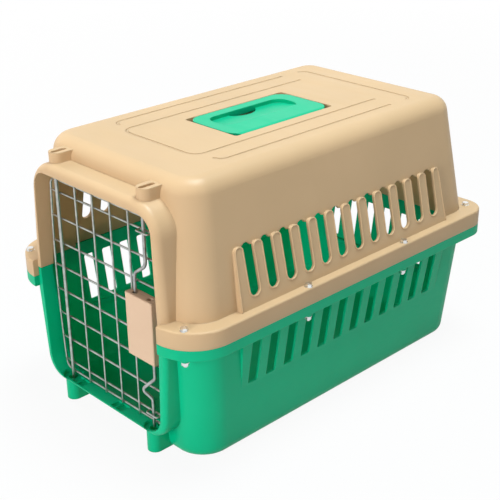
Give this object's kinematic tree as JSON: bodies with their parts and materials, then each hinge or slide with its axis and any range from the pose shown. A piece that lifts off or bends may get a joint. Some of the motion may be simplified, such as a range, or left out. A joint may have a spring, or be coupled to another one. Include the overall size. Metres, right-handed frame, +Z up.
{
  "type": "bird travel carrier",
  "caption": "Box-shaped carrier for a bird or small pet: two moulded half shells bolted at a flange, hinged wire door with spring latch, flip-up roof handle.",
  "frame": {"origin": "on the floor under the middle of the carrier's outline", "axes": "+X towards the latch side, -Y towards the door end, +Z up"},
  "size_m": [0.32, 0.495, 0.3137],
  "materials": {
    "roof_plastic": "satin moulded polypropylene, warm tan",
    "tray_plastic": "satin moulded polypropylene, bright green",
    "zinc_steel": "bright zinc-plated steel wire and fasteners"
  },
  "bodies": {
    "shell": {"top_shell": "roof_plastic", "bottom_shell": "tray_plastic", "handle_pin_front": "zinc_steel", "handle_pin_rear": "zinc_steel", "flange_bolts": "zinc_steel", "flange_nuts": "zinc_steel", "flange_washers_top": "zinc_steel", "flange_washers_bottom": "zinc_steel"},
    "handle": {"carry_handle": "tray_plastic"},
    "door": {"door_hinge_rod": "zinc_steel", "door_rim_wire": "zinc_steel", "door_horizontal_wires": "zinc_steel", "door_vertical_wires": "zinc_steel", "guide_loop_upper": "zinc_steel", "guide_loop_lower": "zinc_steel", "latch_housing": "roof_plastic", "latch_back_plate": "roof_plastic", "latch_screws": "zinc_steel"},
    "latch_upper": {"latch_rod_upper": "zinc_steel", "latch_spring_upper": "zinc_steel"},
    "latch_lower": {"latch_rod_lower": "zinc_steel", "latch_spring_lower": "zinc_steel"}
  },
  "joints": [
    {"name": "door_hinge", "type": "hinge", "parent": "shell", "child": "door", "pos_m": [-0.0745, -0.229, 0.155], "axis": [0, 0, -1], "range_deg": [0, 120]},
    {"name": "handle_hinge", "type": "hinge", "parent": "shell", "child": "handle", "pos_m": [0.037, 0.003, 0.3077], "axis": [0, 1, 0], "range_deg": [0, 95]},
    {"name": "latch_upper_slide", "type": "slide", "parent": "door", "child": "latch_upper", "axis": [0, 0, 1], "range_m": [0, 0.008], "stiffness_N_per_m": 250, "springref_m": 0.012, "deforming": ["latch_spring_upper"]},
    {"name": "latch_lower_slide", "type": "slide", "parent": "door", "child": "latch_lower", "axis": [0, 0, -1], "range_m": [0, 0.008], "stiffness_N_per_m": 250, "springref_m": 0.012, "deforming": ["latch_spring_lower"]}
  ]
}
